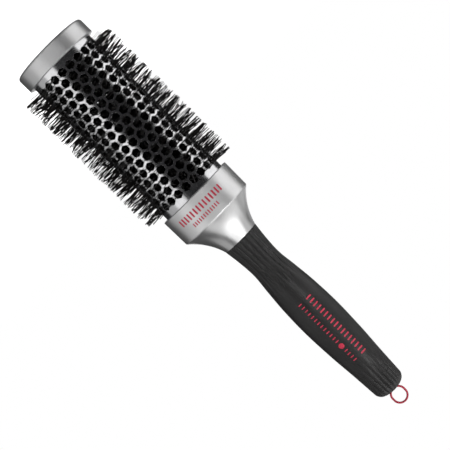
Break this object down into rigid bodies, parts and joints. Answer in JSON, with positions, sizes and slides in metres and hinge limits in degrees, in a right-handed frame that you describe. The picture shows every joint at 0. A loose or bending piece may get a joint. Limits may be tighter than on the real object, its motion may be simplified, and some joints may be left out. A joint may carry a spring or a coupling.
{
  "type": "round barrel brush",
  "caption": "Round hair brush: perforated metal barrel with nylon bristles, silver collar and flared neck, soft grip, and a stored sectioning pick with a pull ring.",
  "frame": {"origin": "centre of the end cap's flat face, which the brush stands on", "axes": "+Z along the brush's axis from the end cap to the grip and the pull ring; the pull ring lies in the XZ plane"},
  "size_m": [0.0582, 0.0582, 0.2558],
  "materials": {
    "satin_silver": "satin silver lacquer",
    "barrel_metal": "polished",
    "polished_silver": "glossy silver lacquer",
    "dark_plastic": "moulded, matt",
    "core_steel": "drawn wire, galvanised",
    "bristle_nylon": "nylon filament, slight gloss",
    "soft_grip": "soft-touch, fine matt texture",
    "seal_rubber": "matt",
    "pick_steel": "brushed along its length",
    "head_plastic": "moulded, satin",
    "red_enamel": "glossy red enamel on wire"
  },
  "bodies": {
    "brush": {"end_cap": "satin_silver", "end_plug": "dark_plastic", "barrel_tube": "barrel_metal", "core_wire_a": "core_steel", "core_wire_b": "core_steel", "bristle_ring_01": "bristle_nylon", "bristle_ring_02": "bristle_nylon", "bristle_ring_03": "bristle_nylon", "bristle_ring_04": "bristle_nylon", "bristle_ring_05": "bristle_nylon", "bristle_ring_06": "bristle_nylon", "bristle_ring_07": "bristle_nylon", "bristle_ring_08": "bristle_nylon", "bristle_ring_09": "bristle_nylon", "bristle_ring_10": "bristle_nylon", "bristle_ring_11": "bristle_nylon", "bristle_ring_12": "bristle_nylon", "bristle_ring_13": "bristle_nylon", "bristle_ring_14": "bristle_nylon", "bristle_ring_15": "bristle_nylon", "bristle_ring_16": "bristle_nylon", "bristle_ring_17": "bristle_nylon", "bristle_ring_18": "bristle_nylon", "neck_bush": "dark_plastic", "collar_band": "satin_silver", "neck_cone": "polished_silver", "handle_core": "dark_plastic", "grip_sleeve": "soft_grip", "pick_socket": "dark_plastic", "detent_ring": "seal_rubber"},
    "pick": {"sectioning_pick": "pick_steel", "pick_head": "head_plastic"},
    "ring": {"pull_ring": "red_enamel"}
  },
  "joints": [
    {"name": "pick_slide", "type": "slide", "parent": "brush", "child": "pick", "axis": [0, 0, 1], "range_m": [0, 0.098]},
    {"name": "ring_swing", "type": "hinge", "parent": "pick", "child": "ring", "pos_m": [0, 0, 0.2463], "axis": [1, 0, 0], "range_deg": [-55, 55]}
  ]
}
